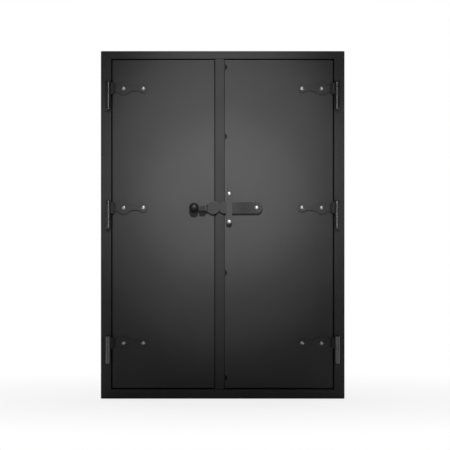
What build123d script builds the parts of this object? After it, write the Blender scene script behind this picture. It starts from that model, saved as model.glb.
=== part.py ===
from build123d import *
import os
from math import acos, atan2, cos, sin, sqrt

# A pair of steel leaves for the front of a brick smokehouse, hung in a frame of angle bar.
# Millimetres. X runs to the right, Z up, and Y back into the wall: the front flange of the
# frame lies on the wall at y = 0, and everything that faces the cook has a negative y.
# The origin is the middle of the frame's lower edge, on the wall.

# Frame
frame_width = 750
frame_height = 1070
frame_sheet = 3
frame_depth = 40
stile_face = 32
bottom_face = 29
top_face = 24
frame_edge = 1.2
frame_root = 2.5
frame_corner = 3
stop_width = 15
stop_bar = 3
stop_front = 16
jamb_hole = 4.25
jamb_hole_back = 30
jamb_hole_low = 150
jamb_hole_spacing = 770

# Leaves
leaf_gap = 3
leaf_sheet = 2
leaf_depth = 18
leaf_bend = 2.2
meeting_edge = -23
meeting_gap = 2
lip_sheet = 2
lip_reach = 24
active_edge = 6
strip_step = 1
strip_clear = 0.5
joggle_right = 6
joggle_run = 1.6
joggle_radius = 2
stiffener_bar = 3
stiffener_width = 24
stiffener_in = 0.5
stiffener_short = 4
slot_in = 1.8
slot_width = 5.4
slot_tall = 20
slot_end_in = 50
slot_low = 64
slot_above_latch = 9
slot_spacing = 210

# Latch and hinge heights
latch_z = 588
hinge_low = 172
hinge_top_in = 115

# Hinges
hinge_in = 23
knuckle_radius = 8
knuckle_clearance = 0.5
knuckle_below = 17
knuckle_above = 22
lower_knuckle = 47
knuckle_gap = 0.4
knuckle_foot = 11
knuckle_round = 2
pin_radius = 4
pin_running = 0.05
pin_reach = 28
pin_room = 1

# Straps, measured inward from the hinge line
strap_bar = 4
strap_small_in = 108
strap_small_radius = 13
strap_big_in = 47.5
strap_big_radius = 19.5
strap_waist_radius = 39.2
strap_notch_in = 25
strap_notch_half = 10
strap_flare_in = 17.5
strap_flare_half = 15.6
strap_end_half = 17
strap_bend_start = 22
strap_bend_end = 12
strap_bend_radius = 4

# Bolts and nuts
head_radius = 6.75
head_height = 3.8
recess_width = 1.5
recess_length = 7
recess_depth = 1.5
small_bolt = 3
small_nut_flats = 10
small_nut_height = 5
small_hole = 3.2
pivot_bolt_radius = 4
pivot_nut_flats = 13
pivot_nut_height = 6.5
bolt_past_nut = 1.5

# Latch
pivot_x = 104.5
pivot_running = 0.05
pivot_spacer_radius = 10
lever_clear = 3.5
lever_bar = 4
lever_half = 18
lever_lobe_x = 6
disc_x = -28.5
disc_radius = 20
neck_x = -52
neck_half = 9
neck_end = -72
neck_out = 10.5
neck_bend_start = -49
neck_bend_end = -53
neck_bend_radius = 4.5
stud_radius = 4
ball_x = -88
ball_radius = 15
ball_flat = 1
stud_depth = 19
bore_room = 1
side_play = 0.3
guide_x = 20
guide_width = 18
guide_bar = 4
guide_half = 43
guide_clear = 1
guide_spacer_radius = 6
catch_bar = 3
catch_left = -71
catch_right = -54
catch_below = 0.4
catch_front = 0.8
catch_lip_top = 5.5
catch_back_top = 10
catch_bend_radius = 2.6

# Sizes that follow from the ones above
half_width = frame_width / 2
inner_x = half_width - stile_face
inner_low = bottom_face
inner_high = frame_height - top_face
leaf_x = inner_x - leaf_gap
leaf_low = inner_low + leaf_gap
leaf_high = inner_high - leaf_gap
leaf_front = -frame_sheet
leaf_back = leaf_front + leaf_sheet
leaf_rear = leaf_front + leaf_depth
strip_front = leaf_front - strip_step
strip_back = strip_front + leaf_sheet
strip_extra = leaf_gap - strip_clear
passive_edge = meeting_edge - meeting_gap
hinge_x = half_width - hinge_in
hinge_y = leaf_front - knuckle_radius - knuckle_clearance
hinge_heights = {"top": frame_height - hinge_top_in, "middle": latch_z, "bottom": hinge_low}
strap_small_x = hinge_x - strap_small_in
strap_big_x = hinge_x - strap_big_in
strap_notch_x = hinge_x - strap_notch_in
strap_flare_x = hinge_x - strap_flare_in
slot_left = active_edge + slot_in
stiffener_left = active_edge + stiffener_in
middle_slot = latch_z + slot_above_latch
slot_heights = (slot_low, middle_slot - slot_spacing, middle_slot, middle_slot + slot_spacing,
                frame_height - slot_end_in)
strap_front = leaf_front - strap_bar
lever_back = strip_front - lever_clear
lever_front = lever_back - lever_bar
neck_back = lever_back - neck_out
neck_front = lever_front - neck_out
ball_y = (neck_back + neck_front) / 2
guide_back = lever_front - guide_clear
guide_front = guide_back - guide_bar
stiffener_back = leaf_back + stiffener_bar


def at_y(y):
    """The upright plane at depth y, seen from the front, that extrudes outward."""
    return Plane.XZ.offset(-y)


def mirrored(half):
    """The same piece for the other side of the door."""
    with BuildPart() as other:
        add(half.mirror(Plane.YZ))
    return other


def bent_bar(plane, points, radius, thickness, length):
    """A flat bar bent along a line of points, all of one thickness."""
    with BuildPart() as bar:
        with BuildSketch(plane):
            with BuildLine():
                FilletPolyline(*points, radius=radius)
            trace(line_width=thickness)
        extrude(amount=length)
    return bar.part


def tangent_point(cx, cz, radius, px, pz, turn):
    """Where a line from the point (px, pz) touches a circle, on the side given by turn."""
    reach = sqrt((px - cx) ** 2 + (pz - cz) ** 2)
    angle = atan2(pz - cz, px - cx) + turn * acos(radius / reach)
    return cx + radius * cos(angle), cz + radius * sin(angle)


def dome_bolt(shank_radius, shank_length):
    """A bolt along Y, its head's seat at y = 0, with a domed head and a cross recess."""
    with BuildPart() as bolt:
        with BuildSketch(Plane.XY):
            with BuildLine():
                Polyline((0, -head_height), (0, shank_length), (shank_radius, shank_length),
                         (shank_radius, 0), (head_radius, 0), (head_radius, -0.8))
                ThreePointArc((head_radius, -0.8),
                              (head_radius * 0.72, -head_height * 0.72), (0, -head_height))
            make_face()
        revolve(axis=Axis.Y)
        with BuildSketch(at_y(-head_height + recess_depth)):
            Rectangle(recess_length, recess_width)
            Rectangle(recess_width, recess_length)
        extrude(amount=2 * recess_depth, mode=Mode.SUBTRACT)
        ends = bolt.edges().filter_by(GeomType.CIRCLE).sort_by(Axis.Y)[-1]
        chamfer(ends, 0.6)
    return bolt.part


def hex_nut(flats, height, bore):
    """A hexagon nut along Y with its seat at y = 0 and its body behind it."""
    with BuildPart() as nut:
        with BuildSketch(at_y(height)):
            RegularPolygon(radius=flats / 2, side_count=6, major_radius=False)
            Circle(bore, mode=Mode.SUBTRACT)
        extrude(amount=height)
    return nut.part


def group(piece, spots):
    """Copies of one fastener at each spot."""
    with BuildPart() as copies:
        with Locations(*spots):
            add(piece)
    return copies


def ring(x, z, y_back, length, radius, bore):
    """A plain spacer tube along Y."""
    with BuildPart() as tube:
        with BuildSketch(at_y(y_back)):
            with Locations((x, z)):
                Circle(radius)
                Circle(bore, mode=Mode.SUBTRACT)
        extrude(amount=length)
    return tube


# Frame rails: the flange runs the whole width, and the web stands back from its inner edge
def rail(face_height, label):
    with BuildPart() as bar:
        with BuildSketch(Plane.YZ.offset(-half_width)):
            with BuildLine():
                Polyline((-frame_sheet, 0), (0, 0), (0, face_height), (-frame_sheet, face_height),
                         close=True)
            make_face()
        extrude(amount=frame_width)
        web_half = inner_x + frame_sheet
        with BuildSketch(Plane.YZ.offset(-web_half)) as corner:
            with BuildLine():
                Polyline((-frame_sheet, 0), (0, 0), (0, face_height - frame_sheet),
                         (frame_depth, face_height - frame_sheet), (frame_depth, face_height),
                         (-frame_sheet, face_height), close=True)
            make_face()
            inside = corner.vertices().filter_by_position(Axis.Y, face_height - frame_sheet - 0.1,
                                                          face_height - frame_sheet + 0.1)
            fillet(inside.sort_by(Axis.X)[0], frame_root)
        extrude(amount=2 * web_half)
        with BuildSketch(Plane.YZ.offset(-web_half)):
            with BuildLine():
                Line((-frame_sheet, face_height - frame_edge), (-frame_sheet, face_height))
                Line((-frame_sheet, face_height), (-frame_sheet + frame_edge, face_height))
                RadiusArc((-frame_sheet + frame_edge, face_height),
                          (-frame_sheet, face_height - frame_edge), -frame_edge)
            make_face()
        extrude(amount=2 * web_half, mode=Mode.SUBTRACT)
        corners = bar.edges().filter_by(Axis.Y).filter_by_position(Axis.Z, -0.1, 0.1)
        fillet(corners, frame_corner)
    bar.part.label = label
    return bar


frame_bottom_rail = rail(bottom_face, "frame_bottom_rail")
lower_top_rail = rail(top_face, "frame_top_rail")
with BuildPart() as frame_top_rail:
    add(lower_top_rail.part.mirror(Plane.XY).moved(Location((0, 0, frame_height))))

# Frame stiles: the same angle section, butted between the rails, with screw holes in the web
with BuildPart() as frame_right_stile:
    with BuildSketch(Plane.XY.offset(inner_low)) as stile:
        with BuildLine():
            Polyline((half_width, -frame_sheet), (half_width, 0), (inner_x + frame_sheet, 0),
                     (inner_x + frame_sheet, frame_depth), (inner_x, frame_depth),
                     (inner_x, -frame_sheet), close=True)
        make_face()
        by_x = stile.vertices().group_by(Axis.X)
        fillet(by_x[0].sort_by(Axis.Y)[0], frame_edge)
        fillet(stile.vertices().filter_by_position(Axis.Y, -0.1, 0.1).sort_by(Axis.X)[0],
               frame_root)
    extrude(amount=inner_high - inner_low)
    with BuildSketch(Plane.YZ.offset(inner_x - 1)):
        with Locations((jamb_hole_back, jamb_hole_low),
                       (jamb_hole_back, jamb_hole_low + jamb_hole_spacing)):
            Circle(jamb_hole)
    extrude(amount=frame_sheet + 2, mode=Mode.SUBTRACT)
frame_left_stile = mirrored(frame_right_stile.part)

# Stop bars behind the leaves: top and bottom run across, the sides stand between them
with BuildPart() as stop_bottom:
    with BuildSketch(at_y(stop_front + stop_bar)):
        with Locations((0, inner_low)):
            Rectangle(2 * inner_x, stop_width, align=(Align.CENTER, Align.MIN))
    extrude(amount=stop_bar)
with BuildPart() as stop_top:
    with BuildSketch(at_y(stop_front + stop_bar)):
        with Locations((0, inner_high)):
            Rectangle(2 * inner_x, stop_width, align=(Align.CENTER, Align.MAX))
    extrude(amount=stop_bar)
with BuildPart() as stop_right:
    with BuildSketch(at_y(stop_front + stop_bar)):
        with Locations((inner_x, inner_low + stop_width)):
            Rectangle(stop_width, inner_high - inner_low - 2 * stop_width,
                      align=(Align.MAX, Align.MIN))
    extrude(amount=stop_bar)
stop_left = mirrored(stop_right.part)

strap_bolt_spots = [(x, z) for z in hinge_heights.values() for x in (strap_small_x, strap_big_x)]
guide_spots = [(guide_x, latch_z - guide_half), (guide_x, latch_z + guide_half)]

# Passive leaf, on the left: a shallow pan, open at the back, whose inner edge carries a lip
# that lies behind the other leaf
with BuildPart() as left_leaf_sheet:
    with BuildSketch(at_y(leaf_rear)):
        with Locations((-leaf_x, leaf_low)):
            Rectangle(leaf_x + passive_edge, leaf_high - leaf_low, align=(Align.MIN, Align.MIN))
    extrude(amount=leaf_depth)
    front = left_leaf_sheet.faces().sort_by(Axis.Y)[0]
    fillet(front.edges(), leaf_bend)
    offset(amount=-leaf_sheet, openings=left_leaf_sheet.faces().sort_by(Axis.Y)[-1])
    with BuildSketch(at_y(leaf_rear)):
        with Locations((passive_edge - leaf_sheet, leaf_low)):
            Rectangle(leaf_sheet + lip_reach, leaf_high - leaf_low, align=(Align.MIN, Align.MIN))
    extrude(amount=lip_sheet)
    with BuildSketch(at_y(leaf_back + 1)):
        with Locations(*[(-x, z) for x, z in strap_bolt_spots]):
            Circle(small_hole)
    extrude(amount=leaf_sheet + 2, mode=Mode.SUBTRACT)

# One slot of the active leaf: a letter D, upright and narrow
slot_turn = (slot_width * 0.45, slot_tall * 0.36)
with BuildSketch() as slot_shape:
    with BuildLine():
        Polyline((slot_turn[0], slot_turn[1]), (0, slot_tall / 2), (0, -slot_tall / 2),
                 (slot_turn[0], -slot_turn[1]))
        ThreePointArc((slot_turn[0], -slot_turn[1]), (slot_width, 0), slot_turn)
    make_face()

# Active leaf, on the right: its inner edge steps outward into a strip that laps that lip
with BuildPart() as right_leaf_sheet:
    with BuildSketch(at_y(leaf_rear)):
        with Locations((leaf_x, leaf_low)):
            Rectangle(leaf_x - active_edge, leaf_high - leaf_low, align=(Align.MAX, Align.MIN))
    extrude(amount=leaf_depth)
    front = right_leaf_sheet.faces().sort_by(Axis.Y)[0]
    fillet(front.edges().sort_by(Axis.X)[1:], leaf_bend)
    rear = right_leaf_sheet.faces().sort_by(Axis.Y)[-1]
    inner = right_leaf_sheet.faces().sort_by(Axis.X)[0]
    offset(amount=-leaf_sheet, openings=[rear, inner])
    sheet_mid = (leaf_front + leaf_back) / 2
    strip_mid = (strip_front + strip_back) / 2
    joggle_left = joggle_right - joggle_run
    joggle_low = leaf_low + leaf_bend
    joggle_high = leaf_high - leaf_bend
    with BuildSketch(Plane.XY.offset(joggle_low)):
        with BuildLine():
            FilletPolyline((joggle_right + 6, sheet_mid), (joggle_right, sheet_mid),
                           (joggle_left, strip_mid), (joggle_left - 6, strip_mid),
                           radius=joggle_radius)
        trace(line_width=leaf_sheet)
    extrude(amount=joggle_high - joggle_low)
    with BuildSketch(at_y(strip_back)):
        with Locations((meeting_edge, leaf_low - strip_extra)):
            Rectangle(joggle_left - 1 - meeting_edge, leaf_high - leaf_low + 2 * strip_extra,
                      align=(Align.MIN, Align.MIN))
    extrude(amount=leaf_sheet)
    with BuildSketch(at_y(leaf_back + 1)):
        with Locations(*[(slot_left, z) for z in slot_heights]):
            add(slot_shape.sketch)
    extrude(amount=leaf_sheet + 2, mode=Mode.SUBTRACT)
    with BuildSketch(at_y(leaf_back + 1)):
        with Locations(*strap_bolt_spots, *guide_spots):
            Circle(small_hole)
        with Locations((pivot_x, latch_z)):
            Circle(pivot_bolt_radius)
    extrude(amount=leaf_sheet + 2, mode=Mode.SUBTRACT)

# Flat bar welded behind the step of the active leaf: it closes the slots from behind
with BuildPart() as right_leaf_stiffener:
    with BuildSketch(at_y(stiffener_back)):
        with Locations((stiffener_left, leaf_low + stiffener_short)):
            Rectangle(stiffener_width, leaf_high - leaf_low - 2 * stiffener_short,
                      align=(Align.MIN, Align.MIN))
        with Locations(*guide_spots):
            Circle(small_hole, mode=Mode.SUBTRACT)
    extrude(amount=stiffener_bar)

# One strap at height 0: two discs joined by a waist, then a notch and a flare to the knuckle
waist_span = strap_big_x - strap_small_x
waist_a = strap_waist_radius + strap_small_radius
waist_b = strap_waist_radius + strap_big_radius
waist_x = (waist_a ** 2 - waist_b ** 2 + waist_span ** 2) / (2 * waist_span)
waist_z = sqrt(waist_a ** 2 - waist_x ** 2)
touch = tangent_point(strap_big_x, 0, strap_big_radius, strap_notch_x, strap_notch_half, 1)
with BuildPart() as strap:
    with BuildSketch(at_y(0)):
        for side in (1, -1):
            with BuildLine():
                Polyline((strap_small_x, 0), (strap_small_x + waist_x, side * waist_z),
                         (strap_big_x, 0), close=True)
            make_face()
        with Locations((strap_small_x + waist_x, waist_z), (strap_small_x + waist_x, -waist_z)):
            Circle(strap_waist_radius, mode=Mode.SUBTRACT)
        with Locations((strap_small_x, 0)):
            Circle(strap_small_radius)
        with Locations((strap_big_x, 0)):
            Circle(strap_big_radius)
        for side in (1, -1):
            with BuildLine():
                Polyline((strap_big_x, 0), (touch[0], side * touch[1]),
                         (strap_notch_x, side * strap_notch_half))
                ThreePointArc((strap_notch_x, side * strap_notch_half),
                              (strap_flare_x, side * strap_flare_half),
                              (hinge_x - knuckle_radius, side * strap_end_half))
                Polyline((hinge_x - knuckle_radius, side * strap_end_half),
                         (hinge_x, side * strap_end_half), (hinge_x, 0), (strap_big_x, 0))
            make_face()
        with Locations((strap_small_x, 0), (strap_big_x, 0)):
            Circle(small_hole, mode=Mode.SUBTRACT)
    extrude(amount=20)
    section_mid = (leaf_front + strap_front) / 2
    bent = bent_bar(Plane.XY.offset(-40), [(strap_small_x - 30, section_mid),
                    (hinge_x - strap_bend_start, section_mid), (hinge_x - strap_bend_end, hinge_y),
                    (hinge_x + 2, hinge_y)], strap_bend_radius, strap_bar, 80)
    add(bent, mode=Mode.INTERSECT)
    with BuildSketch(Plane.XY.offset(-40)):
        with Locations((hinge_x, hinge_y)):
            Circle(knuckle_radius)
    extrude(amount=80, mode=Mode.SUBTRACT)

# The strap's own knuckle, bored from below for the pin
with BuildPart() as upper:
    with BuildSketch(Plane.XY.offset(-knuckle_below)):
        with Locations((hinge_x, hinge_y)):
            Circle(knuckle_radius)
    extrude(amount=knuckle_below + knuckle_above)
    fillet(upper.edges().filter_by(GeomType.CIRCLE).sort_by(Axis.Z)[-1], knuckle_round)
    with BuildSketch(Plane.XY.offset(-knuckle_below)):
        with Locations((hinge_x, hinge_y)):
            Circle(pin_radius + pin_running)
    extrude(amount=pin_reach + pin_room, mode=Mode.SUBTRACT)

# The frame's knuckle below it, with a foot on the flange
lower_top = -knuckle_below - knuckle_gap
with BuildPart() as lower:
    with BuildSketch(Plane.XY.offset(lower_top - lower_knuckle)):
        with Locations((hinge_x, hinge_y)):
            Circle(knuckle_radius)
            Rectangle(knuckle_foot, -frame_sheet - hinge_y, align=(Align.CENTER, Align.MIN))
    extrude(amount=lower_knuckle)
    fillet(lower.edges().filter_by(GeomType.CIRCLE).sort_by(Axis.Z)[0], knuckle_round)
    with BuildSketch(Plane.XY.offset(lower_top - lower_knuckle)):
        with Locations((hinge_x, hinge_y)):
            Circle(pin_radius)
    extrude(amount=lower_knuckle, mode=Mode.SUBTRACT)

with BuildPart() as pin:
    with BuildSketch(Plane.XY.offset(lower_top - lower_knuckle)):
        with Locations((hinge_x, hinge_y)):
            Circle(pin_radius)
    extrude(amount=lower_knuckle + knuckle_gap + pin_reach)
    chamfer(pin.edges().filter_by(GeomType.CIRCLE).sort_by(Axis.Z)[-1], 1)

hinge_parts = {}
for level, height in hinge_heights.items():
    for name, piece in (("strap", strap), ("upper_knuckle", upper), ("lower_knuckle", lower),
                        ("hinge_pin", pin)):
        with BuildPart() as right_piece:
            with Locations((0, 0, height)):
                add(piece.part)
        hinge_parts[f"right_{name}_{level}"] = right_piece
        hinge_parts[f"left_{name}_{level}"] = mirrored(right_piece.part)

# Strap bolts and their nuts
strap_shank = leaf_back - strap_front + small_nut_height + bolt_past_nut
strap_bolt = dome_bolt(small_bolt, strap_shank)
small_nut = hex_nut(small_nut_flats, small_nut_height, small_bolt)
right_strap_bolts = group(strap_bolt, [(x, strap_front, z) for x, z in strap_bolt_spots])
right_strap_nuts = group(small_nut, [(x, leaf_back, z) for x, z in strap_bolt_spots])
left_strap_bolts = mirrored(right_strap_bolts.part)
left_strap_nuts = mirrored(right_strap_nuts.part)

# Lever: a long tongue that ends in a lobe, a disc and a neck that steps outward to the knob
disc_touch = tangent_point(disc_x, 0, disc_radius, neck_x, neck_half, -1)
with BuildPart() as lever:
    with BuildSketch(at_y(0)):
        with Locations((pivot_x, 0), (lever_lobe_x, 0)):
            Circle(lever_half)
        with Locations(((pivot_x + lever_lobe_x) / 2, 0)):
            Rectangle(pivot_x - lever_lobe_x, 2 * lever_half)
        with Locations((disc_x, 0)):
            Circle(disc_radius)
        with BuildLine():
            Polyline((disc_x, disc_radius * 0.5), disc_touch, (neck_x, neck_half),
                     (neck_end, neck_half), (neck_end, -neck_half), (neck_x, -neck_half),
                     (disc_touch[0], -disc_touch[1]), (disc_x, -disc_radius * 0.5), close=True)
        make_face()
        with Locations((pivot_x, 0)):
            Circle(pivot_bolt_radius + pivot_running, mode=Mode.SUBTRACT)
    extrude(amount=40)
    lever_mid = (lever_front + lever_back) / 2
    neck_mid = (neck_front + neck_back) / 2
    bent = bent_bar(Plane.XY.offset(-40), [(pivot_x + 40, lever_mid),
                    (neck_bend_start, lever_mid), (neck_bend_end, neck_mid),
                    (neck_end - 10, neck_mid)], neck_bend_radius, lever_bar, 80)
    add(bent, mode=Mode.INTERSECT)
with BuildPart() as latch_lever:
    with Locations((0, 0, latch_z)):
        add(lever.part)

with BuildPart() as knob_stud:
    with BuildSketch(Plane.YZ.offset(neck_end)):
        with Locations((ball_y, latch_z)):
            Circle(stud_radius)
    extrude(amount=-stud_depth)

with BuildPart() as ball_knob:
    with Locations((ball_x, ball_y, latch_z)):
        Sphere(ball_radius)
    with BuildSketch(Plane.YZ.offset(ball_x + ball_radius - ball_flat)):
        with Locations((ball_y, latch_z)):
            Circle(ball_radius)
    extrude(amount=ball_radius, mode=Mode.SUBTRACT)
    with BuildSketch(Plane.YZ.offset(neck_end)):
        with Locations((ball_y, latch_z)):
            Circle(stud_radius)
    extrude(amount=-stud_depth - bore_room, mode=Mode.SUBTRACT)

# Pivot of the lever, through the active leaf
pivot_seat = lever_front - side_play
pivot_shank = leaf_back - pivot_seat + pivot_nut_height + bolt_past_nut
latch_pivot_bolt = group(dome_bolt(pivot_bolt_radius, pivot_shank),
                         [(pivot_x, pivot_seat, latch_z)])
latch_pivot_nut = group(hex_nut(pivot_nut_flats, pivot_nut_height, pivot_bolt_radius),
                        [(pivot_x, leaf_back, latch_z)])
latch_pivot_spacer = ring(pivot_x, latch_z, leaf_front, leaf_front - lever_back - side_play,
                          pivot_spacer_radius, pivot_bolt_radius)

# Guide: an upright bar on two spacers, which leaves the lever room to lift
with BuildPart() as guide_strap:
    with BuildSketch(at_y(guide_back)):
        with Locations((guide_x, latch_z)):
            SlotCenterToCenter(2 * guide_half, guide_width, rotation=90)
        with Locations(*guide_spots):
            Circle(small_hole, mode=Mode.SUBTRACT)
    extrude(amount=guide_bar)
guide_spacer_length = leaf_front - guide_back
with BuildPart() as guide_spacers:
    for x, z in guide_spots:
        add(ring(x, z, leaf_front, guide_spacer_length, guide_spacer_radius, small_hole).part)
guide_shank = stiffener_back - guide_front + small_nut_height + bolt_past_nut
guide_bolts = group(dome_bolt(small_bolt, guide_shank), [(x, guide_front, z) for x, z in guide_spots])
guide_nuts = group(small_nut, [(x, stiffener_back, z) for x, z in guide_spots])

# Catch: a bar bent into a hook on the passive leaf, open at the top, that holds the neck
catch_back_mid = leaf_front - catch_bar / 2
catch_low_mid = latch_z - neck_half - catch_below - catch_bar / 2
catch_lip_mid = neck_front - catch_front - catch_bar / 2
with BuildPart() as catch_hook:
    add(bent_bar(Plane.YZ.offset(catch_left), [(catch_back_mid, latch_z + catch_back_top),
                 (catch_back_mid, catch_low_mid), (catch_lip_mid, catch_low_mid),
                 (catch_lip_mid, latch_z + catch_lip_top)], catch_bend_radius, catch_bar,
                 catch_right - catch_left))

pieces = {
    "frame_bottom_rail": frame_bottom_rail,
    "frame_top_rail": frame_top_rail,
    "frame_left_stile": frame_left_stile,
    "frame_right_stile": frame_right_stile,
    "stop_bottom": stop_bottom,
    "stop_top": stop_top,
    "stop_left": stop_left,
    "stop_right": stop_right,
    "left_leaf_sheet": left_leaf_sheet,
    "right_leaf_sheet": right_leaf_sheet,
    "right_leaf_stiffener": right_leaf_stiffener,
    "left_strap_bolts": left_strap_bolts,
    "left_strap_nuts": left_strap_nuts,
    "right_strap_bolts": right_strap_bolts,
    "right_strap_nuts": right_strap_nuts,
    "latch_lever": latch_lever,
    "knob_stud": knob_stud,
    "ball_knob": ball_knob,
    "latch_pivot_bolt": latch_pivot_bolt,
    "latch_pivot_nut": latch_pivot_nut,
    "latch_pivot_spacer": latch_pivot_spacer,
    "guide_strap": guide_strap,
    "guide_spacers": guide_spacers,
    "guide_bolts": guide_bolts,
    "guide_nuts": guide_nuts,
    "catch_hook": catch_hook,
}
pieces.update(hinge_parts)

os.makedirs("parts", exist_ok=True)
for label, piece in pieces.items():
    piece.part.label = label
    export_step(piece.part, f"parts/{label}.step")
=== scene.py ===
import math

import bmesh
import bpy
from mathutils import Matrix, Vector


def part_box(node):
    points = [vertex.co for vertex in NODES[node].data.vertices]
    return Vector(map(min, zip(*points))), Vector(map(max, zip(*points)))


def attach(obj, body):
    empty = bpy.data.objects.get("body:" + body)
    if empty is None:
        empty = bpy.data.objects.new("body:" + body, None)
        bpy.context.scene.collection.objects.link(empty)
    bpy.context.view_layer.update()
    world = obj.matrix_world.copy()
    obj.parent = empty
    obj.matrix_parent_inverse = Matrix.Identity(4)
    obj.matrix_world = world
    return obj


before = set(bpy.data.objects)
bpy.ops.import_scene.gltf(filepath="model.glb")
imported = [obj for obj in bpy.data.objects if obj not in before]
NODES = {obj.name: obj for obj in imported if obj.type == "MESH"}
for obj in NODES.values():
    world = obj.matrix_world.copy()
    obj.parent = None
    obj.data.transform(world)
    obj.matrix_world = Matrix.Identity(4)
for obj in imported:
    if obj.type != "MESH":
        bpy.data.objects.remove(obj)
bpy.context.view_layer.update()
LEVELS = ("top", "middle", "bottom")
SIDES = ("left", "right")


def into_scene(obj):
    bpy.context.scene.collection.objects.link(obj)


# Node helpers

BEVEL_SAMPLES = 6
WEAR_SAMPLES = 8
WHITE = (1, 1, 1, 1)


def new_material(name):
    mat = bpy.data.materials.new(name)
    mat.use_nodes = True
    tree = mat.node_tree
    tree.nodes.clear()
    out = tree.nodes.new("ShaderNodeOutputMaterial")
    shader = tree.nodes.new("ShaderNodeBsdfPrincipled")
    tree.links.new(shader.outputs["BSDF"], out.inputs["Surface"])
    return mat, tree, shader


def node(tree, kind, **inputs):
    made = tree.nodes.new(kind)
    for key, value in inputs.items():
        made.inputs[key.replace("_", " ")].default_value = value
    return made


def fill_inputs(tree, made, values):
    """Sets a node's inputs in turn, each to a number or from another node's output."""
    for socket, value in zip(made.inputs, values):
        if isinstance(value, bpy.types.NodeSocket):
            tree.links.new(value, socket)
        else:
            socket.default_value = value


def noise(tree, scale, detail=3.0, stretch=(1, 1, 1)):
    """Noise in metres of the object's own frame."""
    place = tree.nodes.new("ShaderNodeTexCoord")
    mapping = tree.nodes.new("ShaderNodeMapping")
    mapping.inputs["Scale"].default_value = stretch
    tex = node(tree, "ShaderNodeTexNoise", Scale=scale, Detail=detail)
    tree.links.new(place.outputs["Object"], mapping.inputs["Vector"])
    tree.links.new(mapping.outputs["Vector"], tex.inputs["Vector"])
    return tex.outputs["Fac"]


def remap(tree, value, low, high, to_low, to_high):
    step = node(tree, "ShaderNodeMapRange", From_Min=low, From_Max=high, To_Min=to_low,
                To_Max=to_high)
    tree.links.new(value, step.inputs["Value"])
    return step.outputs["Result"]


def rises(tree, value, start, end):
    """0 up to start and 1 from end on."""
    return remap(tree, value, start, end, 0.0, 1.0)


def falls(tree, value, start, end):
    """1 up to start and 0 from end on."""
    return remap(tree, value, start, end, 1.0, 0.0)


def math_node(tree, operation, *values):
    step = tree.nodes.new("ShaderNodeMath")
    step.operation = operation
    fill_inputs(tree, step, values)
    return step.outputs[0]


def band(tree, value, start, end, soft):
    """1 from start to end, and 0 more than soft outside them."""
    return math_node(tree, "MULTIPLY", rises(tree, value, start - soft, start),
                     falls(tree, value, end, end + soft))


def mix_colour(tree, factor, dark, light):
    mix = tree.nodes.new("ShaderNodeMix")
    mix.data_type = "RGBA"
    for socket, colour in zip([s for s in mix.inputs if s.type == "RGBA"], (dark, light)):
        if isinstance(colour, tuple):
            socket.default_value = colour
        else:
            tree.links.new(colour, socket)
    tree.links.new(factor, mix.inputs["Factor"])
    return [s for s in mix.outputs if s.type == "RGBA"][0]


def mix_shaders(tree, factor, first, second):
    blend = tree.nodes.new("ShaderNodeMixShader")
    fill_inputs(tree, blend, (factor, first, second))
    return blend.outputs[0]


def bevel_normal(tree, radius, samples):
    soft = node(tree, "ShaderNodeBevel", Radius=radius)
    soft.samples = samples
    return soft.outputs["Normal"]


def bumps(tree, shader, layers, bevel=None):
    """Stacks (height, strength, depth) layers of bump, over softened edges if bevel is given."""
    normal = bevel_normal(tree, bevel, BEVEL_SAMPLES) if bevel else None
    for height, strength, depth in layers:
        bump = node(tree, "ShaderNodeBump", Strength=strength, Distance=depth)
        tree.links.new(height, bump.inputs["Height"])
        if normal:
            tree.links.new(normal, bump.inputs["Normal"])
        normal = bump.outputs["Normal"]
    tree.links.new(normal, shader.inputs["Normal"])


def grey(level, warm=0.0):
    return (level * (1 + warm), level, level * (1 - warm), 1.0)


def axis_of(tree, source, axis):
    """One coordinate of a texture coordinate: Object is metres of the object's own frame."""
    place = tree.nodes.new("ShaderNodeTexCoord")
    parts = tree.nodes.new("ShaderNodeSeparateXYZ")
    tree.links.new(place.outputs[source], parts.inputs["Vector"])
    return parts.outputs[axis]


def object_axis(tree, axis):
    return axis_of(tree, "Object", axis)


def distance_from(tree, axis, middle):
    away = math_node(tree, "SUBTRACT", object_axis(tree, axis), middle)
    return math_node(tree, "ABSOLUTE", away)


# Cosine between the softened normal and the true one, where an edge is lightened most and not at
# all, by wear and painted highlight
EDGE_FULL_COSINE = 0.8
EDGE_NONE_COSINE = 0.97


def edge_mask(tree, radius):
    """Rises to 1 on the outer edges, where paint wears thin and a painted highlight is laid."""
    turned = tree.nodes.new("ShaderNodeVectorMath")
    turned.operation = "DOT_PRODUCT"
    flat = tree.nodes.new("ShaderNodeNewGeometry")
    fill_inputs(tree, turned, (bevel_normal(tree, radius, WEAR_SAMPLES), flat.outputs["Normal"]))
    return falls(tree, turned.outputs["Value"], EDGE_FULL_COSINE, EDGE_NONE_COSINE)


# Paint and metal. Each noise is (scale per metre, detail)

NOISE_LOW = 0.3
NOISE_HIGH = 0.7
TINT = 0.01
TONE_NOISE = (5.0, 2.0)
TONE_DARK = 0.94
TONE_LIGHT = 1.06
GLOSS_NOISE = (18.0, 4.0)
GLOSS_SWING = 0.02
SCUFF_NOISE = (160.0, 4.0)
SCUFF_FROM = 0.6
SCUFF_FULL = 0.75
SCUFF_TIMES = 2.0
WEAR_NOISE = (220.0, 3.0)
WEAR_FULL = 0.6
WEAR_LEAST = 0.35
WAVE_NOISE = (7.0, 1.0)
WAVE_DEEP = 0.002
GRAIN_DETAIL = 2.0
GRAIN_DEEP = 0.0002
BLOOM_NOISE = (300.0, 3.0)
BLOOM_FROM = 0.35
BLOOM_FULL = 0.65
BLOOM_DARK = 0.82
DULL_NOISE = (700.0, 4.0)
DULL_LESS = 0.06
DULL_MORE = 0.08
SCRATCH_NOISE = (2500.0, 2.0)
SCRATCH_STRETCH = (1, 1, 0.15)
SCRATCH_STRENGTH = 0.15
SCRATCH_DEEP = 0.0001
BALL_TONES = (0.004, 0.007)
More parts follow.
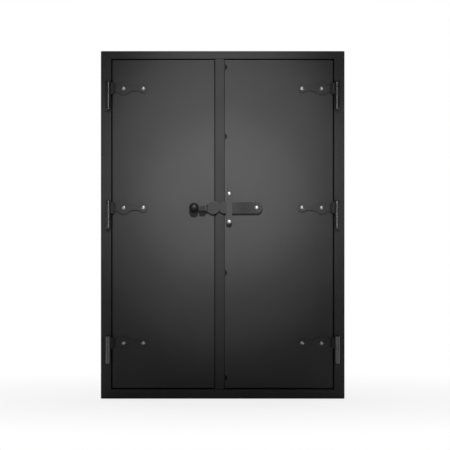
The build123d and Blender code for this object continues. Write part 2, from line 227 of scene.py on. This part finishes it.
BALL_TONE_NOISE = (60.0, 3.0)
BALL_GLOSS = (0.5, 0.58)
BALL_GLOSS_NOISE = (120.0, 3.0)
BALL_WAVE_NOISE = (140.0, 1.0)
BALL_WAVE = 0.03
BALL_WAVE_DEEP = 0.0005


def paint(name, level, roughness, bevel, grain=900.0, grain_strength=0.1, wave=0.0, scuff=0.0,
          edge=0.0, patch=None, painted_light=None):
    """Satin heat-resistant black: fine texture, slow changes of tone and sheen, and edges
    lightened by wear and painted highlight.

    patch is (mask function, share of the tone kept, roughness there), and the last pair is
    (mask function, times the tone): painted shade where the tone drops, painted light where it
    rises."""
    mat, tree, shader = new_material(name)
    fine = noise(tree, grain, GRAIN_DETAIL)
    tone = rises(tree, noise(tree, *TONE_NOISE), NOISE_LOW, NOISE_HIGH)
    colour = mix_colour(tree, tone, grey(level * TONE_DARK), grey(level * TONE_LIGHT, TINT))
    gloss = remap(tree, noise(tree, *GLOSS_NOISE), NOISE_LOW, NOISE_HIGH,
                  roughness - GLOSS_SWING, roughness + GLOSS_SWING)
    if scuff:
        spots = remap(tree, noise(tree, *SCUFF_NOISE), SCUFF_FROM, SCUFF_FULL, 0.0, scuff)
        colour = mix_colour(tree, spots, colour, grey(level * SCUFF_TIMES))
    if patch:
        where, tone_kept, duller = patch
        mask = where(tree)
        colour = mix_colour(tree, mask, colour, grey(level * tone_kept))
        change = math_node(tree, "MULTIPLY", mask, duller - roughness)
        gloss = math_node(tree, "ADD", gloss, change)
    if painted_light:
        where, times = painted_light
        colour = mix_colour(tree, where(tree), colour, grey(level * times))
    # Edges are lightened: thin paint from wear, and a painted highlight
    if edge:
        broken = remap(tree, noise(tree, *WEAR_NOISE), NOISE_LOW, WEAR_FULL, WEAR_LEAST, 1.0)
        worn_and_lit = math_node(tree, "MULTIPLY", edge_mask(tree, bevel), broken)
        colour = mix_colour(tree, worn_and_lit, colour, grey(edge))
    tree.links.new(colour, shader.inputs["Base Color"])
    tree.links.new(gloss, shader.inputs["Roughness"])
    shader.inputs["Specular IOR Level"].default_value = 0.5
    layers = [(fine, grain_strength, GRAIN_DEEP)]
    if wave:
        layers.insert(0, (noise(tree, *WAVE_NOISE), wave, WAVE_DEEP))
    bumps(tree, shader, layers, bevel)
    return mat


def metal(name, level, roughness, bevel, scratch=True):
    """Bright zinc or bare steel with fine scratches and a dull bloom."""
    mat, tree, shader = new_material(name)
    shader.inputs["Metallic"].default_value = 1.0
    bloom = rises(tree, noise(tree, *BLOOM_NOISE), BLOOM_FROM, BLOOM_FULL)
    colour = mix_colour(tree, bloom, grey(level * BLOOM_DARK, TINT), grey(level, -TINT))
    gloss = remap(tree, noise(tree, *DULL_NOISE), NOISE_LOW, NOISE_HIGH,
                  roughness - DULL_LESS, roughness + DULL_MORE)
    tree.links.new(colour, shader.inputs["Base Color"])
    tree.links.new(gloss, shader.inputs["Roughness"])
    fine = noise(tree, *SCRATCH_NOISE, SCRATCH_STRETCH if scratch else (1, 1, 1))
    bumps(tree, shader, [(fine, SCRATCH_STRENGTH, SCRATCH_DEEP)], bevel)
    return mat


def ball_plastic(name):
    """Near-black, with a faint unevenness."""
    mat, tree, shader = new_material(name)
    colour = mix_colour(tree, noise(tree, *BALL_TONE_NOISE), *map(grey, BALL_TONES))
    gloss = remap(tree, noise(tree, *BALL_GLOSS_NOISE), NOISE_LOW, NOISE_HIGH, *BALL_GLOSS)
    tree.links.new(colour, shader.inputs["Base Color"])
    tree.links.new(gloss, shader.inputs["Roughness"])
    bumps(tree, shader, [(noise(tree, *BALL_WAVE_NOISE), BALL_WAVE, BALL_WAVE_DEEP)])
    return mat


# Masks: where the tone and gloss change, much of it painted shade and painted light, in metres
# of the object's own frame

STRIP_EDGE = 0.0046
STRIP_EDGE_SOFT = 0.0006
STRIP_BACK = -0.0015
STRIP_BACK_SOFT = 0.0003
LATCH_Z = 0.588
# Painted shade on the right leaf's strip is strongest near the latch height and weakest far from
# it
STRIP_SHADE_NEAR = 0.12
STRIP_SHADE_FAR = 0.5
STRIP_SHADE_LEAST = 0.15
# The right leaf's step beside the strip is darkened as painted shade
CREASE_FROM = 0.0042
CREASE_TO = 0.0062
CREASE_SOFT = 0.0003
CREASE_SHADE_TONE = 0.35
LEVER_DARK_X = 0.066
LEVER_DARK_REACH = 0.05
LEVER_NECK_X = -0.046
LEVER_NECK_SOFT = 0.003
# The bend in the lever's neck is lightened as painted light
BEND_LIGHT_FROM = -0.0535
BEND_LIGHT_TO = -0.0488
BEND_LIGHT_SOFT = 0.001
BEND_LIGHT_TONE = 3.1
# Painted shade on front faces seen through slots and gaps
SHADE_REACH = 0.0002
RECESS_SHADE_TONE = 0.04
STIFFENER_FRONT = -0.001
LIP_FRONT = 0.013
LIP_FROM = -0.0265
LIP_SOFT = 0.0004


def strip_shade_mask(tree):
    """The stepped strip of the right leaf: painted shade, darkest near the latch, and rougher
    paint.
    """
    beside = falls(tree, object_axis(tree, "X"), STRIP_EDGE - STRIP_EDGE_SOFT,
                   STRIP_EDGE + STRIP_EDGE_SOFT)
    before = falls(tree, object_axis(tree, "Y"), STRIP_BACK - STRIP_BACK_SOFT,
                   STRIP_BACK + STRIP_BACK_SOFT)
    near_latch = remap(tree, distance_from(tree, "Z", LATCH_Z), STRIP_SHADE_NEAR, STRIP_SHADE_FAR, 1.0,
                    STRIP_SHADE_LEAST)
    return math_node(tree, "MULTIPLY", math_node(tree, "MULTIPLY", beside, before), near_latch)


def crease_shade_mask(tree):
    """The right leaf's step beside the strip, darkened as painted shade."""
    return band(tree, object_axis(tree, "X"), CREASE_FROM, CREASE_TO, CREASE_SOFT)


def lever_mask(tree):
    """The middle of the lever, darker and rougher. On its neck the mask is below 0,
    which leaves the colour and only adds gloss."""
    middle = falls(tree, distance_from(tree, "X", LEVER_DARK_X), 0.0, LEVER_DARK_REACH)
    neck = falls(tree, object_axis(tree, "X"), LEVER_NECK_X - LEVER_NECK_SOFT,
                 LEVER_NECK_X + LEVER_NECK_SOFT)
    return math_node(tree, "SUBTRACT", middle, neck)


def neck_bend_light_mask(tree):
    """The bend in the lever's neck, lightened as painted light."""
    return band(tree, object_axis(tree, "X"), BEND_LIGHT_FROM, BEND_LIGHT_TO, BEND_LIGHT_SOFT)


def recess_shade_mask(face):
    """A mask for a front face behind a slot or a gap, made near black there as painted shade.

    face is the y of that face. Its back and sides stay as painted."""
    def mask(tree):
        return falls(tree, object_axis(tree, "Y"), face + SHADE_REACH, face + 2 * SHADE_REACH)
    return mask


def lip_mask(tree):
    """The front face of the left leaf's lip, seen through the seam and made near black as
    painted shade.
    """
    front = band(tree, object_axis(tree, "Y"), LIP_FRONT - SHADE_REACH, LIP_FRONT + SHADE_REACH,
                 SHADE_REACH)
    inner = rises(tree, object_axis(tree, "X"), LIP_FROM - LIP_SOFT, LIP_FROM)
    return math_node(tree, "MULTIPLY", front, inner)


# Materials: sheet and bar are smooth, forged pieces coarser. Paint is (name, tone, roughness,
# bevel radius), and so is metal

SHEET = {"roughness": 0.50, "bevel": 0.0007}
LEAF = {"level": 0.055, "wave": 0.05, "edge": 0.08, **SHEET}
FORGED = {"grain": 500.0, "grain_strength": 0.22, "scuff": 0.15}

frame_paint = paint("frame_black", 0.050, wave=0.03, edge=0.075, **SHEET)
# The left leaf: painted shade on its lip's front face, seen through the seam
left_leaf_paint = paint("left_leaf_black", patch=(lip_mask, RECESS_SHADE_TONE, 1.0), **LEAF)
# The right leaf: painted shade on its strip and in its step beside it
right_leaf_paint = paint("right_leaf_black", patch=(strip_shade_mask, 0.55, 0.7),
                         painted_light=(crease_shade_mask, CREASE_SHADE_TONE), **LEAF)
# Painted shade on the fronts of the stiffener and the stop bars, seen through slots and gaps
stiffener_paint = paint("stiffener_black", 0.050, edge=0.07,
                        patch=(recess_shade_mask(STIFFENER_FRONT), RECESS_SHADE_TONE, 1.0), **SHEET)
stop_paint = paint("stop_black", 0.050, edge=0.07,
                   patch=(recess_shade_mask(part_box("stop_left")[0].y), RECESS_SHADE_TONE, 1.0), **SHEET)
hardware_paint = paint("hardware_black", 0.047, 0.50, 0.0004, edge=0.065, **FORGED)
# The lever: painted light on the bend of its neck
lever_paint = paint("lever_black", 0.031, 0.56, 0.0021, edge=0.16,
                    patch=(lever_mask, 0.5, 0.66), painted_light=(neck_bend_light_mask, BEND_LIGHT_TONE), **FORGED)
# The catch is painted darker than the other hardware, as painted shade under the lever's neck
catch_shade_paint = paint("catch_black", 0.012, 0.60, 0.0008, edge=0.03, **FORGED)
weld_paint = paint("weld_black", 0.045, 0.5, None, grain=1200.0, grain_strength=0.2)
zinc = metal("bright_zinc", 0.78, 0.46, 0.0003)
bare_steel = metal("oiled_steel", 0.38, 0.40, 0.0003)
black_oxide = metal("black_oxide", 0.23, 0.24, 0.0003, scratch=False)
knob_black = ball_plastic("knob_black")

# The first word found in a node's name decides its material
FINISHES = (("bolt", zinc), ("nut", zinc), ("hinge_pin", bare_steel), ("ball_knob", knob_black),
            ("frame_", frame_paint), ("stop_", stop_paint), ("left_leaf_sheet", left_leaf_paint),
            ("right_leaf_sheet", right_leaf_paint), ("stiffener", stiffener_paint),
            ("knuckle", black_oxide), ("latch_lever", lever_paint), ("catch_hook", catch_shade_paint))

for name, obj in NODES.items():
    found = [finish for word, finish in FINISHES if word in name]
    obj.data.materials.clear()
    obj.data.materials.append(found[0] if found else hardware_paint)


# Weld beads: rippled runs of filler along the seams

BEAD_PITCH = 0.0022
BEAD_SIDES = 10
BEAD_RADIUS = 0.0014
BEAD_FILL = 0.88
RIPPLE = 0.16
RINGS_PER_RIPPLE = 4
FEWEST_RINGS = 6
END_SIZE = 0.25
END_GROWTH = 6
WANDER = 0.12
WANDER_RATE = 37.0
WANDER_BY_X = 11.0
WANDER_BY_Z = 7.0


def bead(name, body, start, end, radius=BEAD_RADIUS):
    start, end = Vector(start), Vector(end)
    run = end - start
    along = run.normalized()
    side = along.orthogonal().normalized()
    other = along.cross(side)
    ripples = run.length / BEAD_PITCH
    steps = max(FEWEST_RINGS, int(ripples) * RINGS_PER_RIPPLE)
    bm = bmesh.new()
    rings = []
    for i in range(steps + 1):
        t = i / steps
        ripple = 1 + RIPPLE * abs(math.sin(math.pi * t * ripples))
        ends = min(1.0, END_GROWTH * t + END_SIZE, END_GROWTH * (1 - t) + END_SIZE)
        turn = WANDER_RATE * t + WANDER_BY_X * start.x + WANDER_BY_Z * start.z
        wander = WANDER * radius * math.sin(turn)
        centre = start + run * t + side * wander
        size = radius * ripple * ends * BEAD_FILL
        ring = []
        for k in range(BEAD_SIDES):
            a = 2 * math.pi * k / BEAD_SIDES
            ring.append(bm.verts.new(centre + (side * math.cos(a) + other * math.sin(a)) * size))
        rings.append(ring)
    for low, high in zip(rings, rings[1:]):
        for k in range(BEAD_SIDES):
            n = (k + 1) % BEAD_SIDES
            bm.faces.new((low[k], low[n], high[n], high[k]))
    bm.faces.new(reversed(rings[0]))
    bm.faces.new(rings[-1])
    bmesh.ops.recalc_face_normals(bm, faces=bm.faces)
    mesh = bpy.data.meshes.new(name)
    bm.to_mesh(mesh)
    bm.free()
    for face in mesh.polygons:
        face.use_smooth = True
    piece = bpy.data.objects.new(name, mesh)
    into_scene(piece)
    piece.data.materials.append(weld_paint)
    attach(piece, body)


def upright(name, body, x, y, bottom, top, radius=BEAD_RADIUS):
    bead(name, body, (x, y, bottom), (x, y, top), radius)


def spaced(low, high, margin, count):
    """Places from low to high, with a margin kept free at both ends."""
    return [low + margin + i * (high - low - 2 * margin) / (count - 1) for i in range(count)]


# At the hinges: both sides of each foot on the frame, and both faces of each strap's end

WELD_END = 0.002
FOOT_LAP = 0.0004
FOOT_HALF = 0.0058
STRAP_HALF = 0.002
STRAP_GAP = 0.0003
STRAP_WELD_TOP = 0.032
FACE_GAP = 0.0006

for side, sign in (("left", -1), ("right", 1)):
    for level in LEVELS:
        low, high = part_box(f"{side}_lower_knuckle_{level}")
        middle = (low.x + high.x) / 2
        for tag, x in (("in", middle - FOOT_HALF), ("out", middle + FOOT_HALF)):
            upright(f"{side}_knuckle_weld_{level}_{tag}", "frame",
                    x, high.y - FOOT_LAP, low.z + WELD_END, high.z - WELD_END)
        low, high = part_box(f"{side}_upper_knuckle_{level}")
        seam_x = middle - sign * ((high.x - low.x) / 2 + STRAP_GAP)
        axis_y = (low.y + high.y) / 2
        for tag, y in (("front", axis_y - STRAP_HALF - FACE_GAP),
                       ("back", axis_y + STRAP_HALF + FACE_GAP)):
            upright(f"{side}_strap_weld_{level}_{tag}", f"{side}_leaf",
                    seam_x, y, low.z + WELD_END, low.z + STRAP_WELD_TOP)

# Inside: stitches along the stop bars, in the frame's corners, along the stiffening bar and
# at the catch. Stitches in a row are (margin at both ends, number of them)

HALF_STITCH = 0.015
SIDE_ROW = (0.04, 5)
END_ROW = (0.06, 4)
STIFFENER_ROW = (0.05, 6)
CORNER_TO = 0.018
CATCH_BOTTOM = 0.006
CATCH_TOP = 0.001
CATCH_RADIUS = 0.0011

for side in SIDES:
    low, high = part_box(f"stop_{side}")
    x = low.x if side == "left" else high.x
    for i, z in enumerate(spaced(low.z, high.z, *SIDE_ROW)):
        upright(f"stop_stitch_{side}_{i}", "frame",
                x, high.y, z - HALF_STITCH, z + HALF_STITCH)
for end in ("top", "bottom"):
    low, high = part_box(f"stop_{end}")
    z = high.z if end == "top" else low.z
    for i, x in enumerate(spaced(low.x, high.x, *END_ROW)):
        bead(f"stop_stitch_{end}_{i}", "frame",
             (x - HALF_STITCH, high.y, z), (x + HALF_STITCH, high.y, z))
    for side, corner_x in (("left", low.x), ("right", high.x)):
        bead(f"corner_weld_{end}_{side}", "frame",
             (corner_x, high.y + WELD_END, z), (corner_x, high.y + CORNER_TO, z))
low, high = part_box("right_leaf_stiffener")
for i, z in enumerate(spaced(low.z, high.z, *STIFFENER_ROW)):
    upright(f"stiffener_stitch_{i}", "right_leaf",
            high.x, low.y + FACE_GAP, z - HALF_STITCH, z + HALF_STITCH)
low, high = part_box("catch_hook")
for tag, x in (("left", low.x), ("right", high.x)):
    upright(f"catch_weld_{tag}", "left_leaf",
            x, high.y - FACE_GAP, low.z + CATCH_BOTTOM, high.z - CATCH_TOP, CATCH_RADIUS)

# World: white to the camera and behind the door, towards positive y, and a dim room in front

ROOM_LEVEL = 0.03
ROOM_TO = -0.1
BACKDROP_LEVEL = 0.8
BACKDROP_FROM = 0.3
MIRRORED_ROOM = 0.015
MIRRORED_FROM = 0.75
MIRRORED_FULL = 0.95

world = bpy.data.worlds.new("studio")
bpy.context.scene.world = world
world.use_nodes = True
tree = world.node_tree
tree.nodes.clear()
out = tree.nodes.new("ShaderNodeOutputWorld")
white = node(tree, "ShaderNodeBackground", Color=WHITE, Strength=1.0)
fill = node(tree, "ShaderNodeBackground", Color=WHITE)
rays = tree.nodes.new("ShaderNodeLightPath")
towards = axis_of(tree, "Generated", "Y")
shiny = math_node(tree, "MAXIMUM", rays.outputs["Is Glossy Ray"],
                  rays.outputs["Is Transmission Ray"])
matt = math_node(tree, "SUBTRACT", 1.0, shiny)
soft_fill = remap(tree, towards, ROOM_TO, BACKDROP_FROM, ROOM_LEVEL, BACKDROP_LEVEL)
strength = math_node(tree, "ADD", math_node(tree, "MULTIPLY", soft_fill, matt),
                     math_node(tree, "MULTIPLY", shiny, MIRRORED_ROOM))
tree.links.new(strength, fill.inputs["Strength"])
mirrored = math_node(tree, "MULTIPLY", shiny,
                     rises(tree, towards, MIRRORED_FROM, MIRRORED_FULL))
seen = math_node(tree, "MAXIMUM", rays.outputs["Is Camera Ray"], mirrored)
tree.links.new(mix_shaders(tree, seen, fill.outputs[0], white.outputs[0]), out.inputs["Surface"])

# Lamps: two soft pools of light, one inside the other, from above and in front, and a tall
# narrow one that shows only in gloss

LAMP_PLACE = (0.03, -3.4, 3.0)
LAMP_RADIUS = 0.04
POOLS = {
    "wide_pool": {"target": (-0.002, 0, 0.694), "spread": 13.8, "widen": 1.0, "power": 440},
    "inner_pool": {"target": (-0.002, 0, 0.628), "spread": 7.0, "widen": 1.3, "power": 296},
}
SHEEN_PLACE = (0.0, -3.0, 0.72)
SHEEN_WIDE = 0.45
SHEEN_HIGH = 0.9
SHEEN_POWER = 5.6


def lamp(name, kind, power, place):
    light = bpy.data.objects.new(name, bpy.data.lights.new(name, kind))
    light.data.energy = power
    light.location = place
    light.visible_camera = False
    into_scene(light)
    return light


for name, pool in POOLS.items():
    spot = lamp(name, "SPOT", pool["power"], LAMP_PLACE)
    spot.data.spot_size = math.radians(pool["spread"])
    spot.data.spot_blend = 1.0
    spot.data.shadow_soft_size = LAMP_RADIUS
    spot.rotation_mode = "QUATERNION"
    beam = Vector(pool["target"]) - Vector(LAMP_PLACE)
    spot.rotation_quaternion = beam.to_track_quat("-Z", "Y")
    spot.scale = (pool["widen"], 1, 1)

sheen = lamp("sheen", "AREA", SHEEN_POWER, SHEEN_PLACE)
sheen.data.shape = "RECTANGLE"
sheen.data.size = SHEEN_WIDE
sheen.data.size_y = SHEEN_HIGH
sheen.rotation_euler = (math.radians(90), 0, 0)
sheen.visible_diffuse = False

# Floor: white to the camera, with the door's shadow still faintly on it

FLOOR_SIZE = 40
FLOOR_ROUGHNESS = 0.8
FLOOR_TONES = (0.90, 0.92)
FLOOR_NOISE = 0.8
FLOOR_WHITE = 0.84
FADE_NEAR = 0.3
FADE_FAR = 1.6
MIRRORED_BEHIND = 0.3

bpy.ops.mesh.primitive_plane_add(size=FLOOR_SIZE, location=(0, 0, 0))
floor = bpy.context.active_object
floor.name = "floor"
floor_mat, tree, shader = new_material("floor_white")
shader.inputs["Roughness"].default_value = FLOOR_ROUGHNESS
tone = mix_colour(tree, noise(tree, FLOOR_NOISE), *map(grey, FLOOR_TONES))
tree.links.new(tone, shader.inputs["Base Color"])
glow = node(tree, "ShaderNodeEmission", Color=WHITE, Strength=1.0)
rays = tree.nodes.new("ShaderNodeLightPath")
behind = rises(tree, object_axis(tree, "Y"), 0.0, MIRRORED_BEHIND)
mirrored = math_node(tree, "MULTIPLY", rays.outputs["Is Glossy Ray"], behind)
seen = math_node(tree, "MAXIMUM", rays.outputs["Is Camera Ray"], mirrored)
place = tree.nodes.new("ShaderNodeTexCoord")
reach = tree.nodes.new("ShaderNodeVectorMath")
reach.operation = "LENGTH"
tree.links.new(place.outputs["Object"], reach.inputs[0])
whiteness = remap(tree, reach.outputs["Value"], FADE_NEAR, FADE_FAR, FLOOR_WHITE, 1.0)
both = mix_shaders(tree, math_node(tree, "MULTIPLY", seen, whiteness), shader.outputs["BSDF"],
                   glow.outputs[0])
out = [n for n in tree.nodes if n.type == "OUTPUT_MATERIAL"][0]
tree.links.new(both, out.inputs["Surface"])
floor.data.materials.append(floor_mat)

# Camera: straight on, from far away

PICTURE_PX = 450
DOOR_HEIGHT = 1.07
DOOR_HEIGHT_PX = 347.5
CENTRE_PX = (222.7, 224.9)
DISTANCE = 9.0
SENSOR = 36.0
NEAREST = 0.1
FARTHEST = 100
metres_per_px = DOOR_HEIGHT / DOOR_HEIGHT_PX
camera_data = bpy.data.cameras.new("camera")
camera_data.sensor_width = SENSOR
camera_data.lens = SENSOR * DISTANCE / (PICTURE_PX * metres_per_px)
camera_data.clip_start, camera_data.clip_end = NEAREST, FARTHEST
camera = bpy.data.objects.new("camera", camera_data)
camera.location = ((PICTURE_PX / 2 - CENTRE_PX[0]) * metres_per_px, -DISTANCE,
                   DOOR_HEIGHT / 2 - (PICTURE_PX / 2 - CENTRE_PX[1]) * metres_per_px)
camera.rotation_euler = (math.radians(90), 0, 0)
into_scene(camera)
bpy.context.scene.camera = camera
bpy.context.scene.view_settings.view_transform = "Standard"
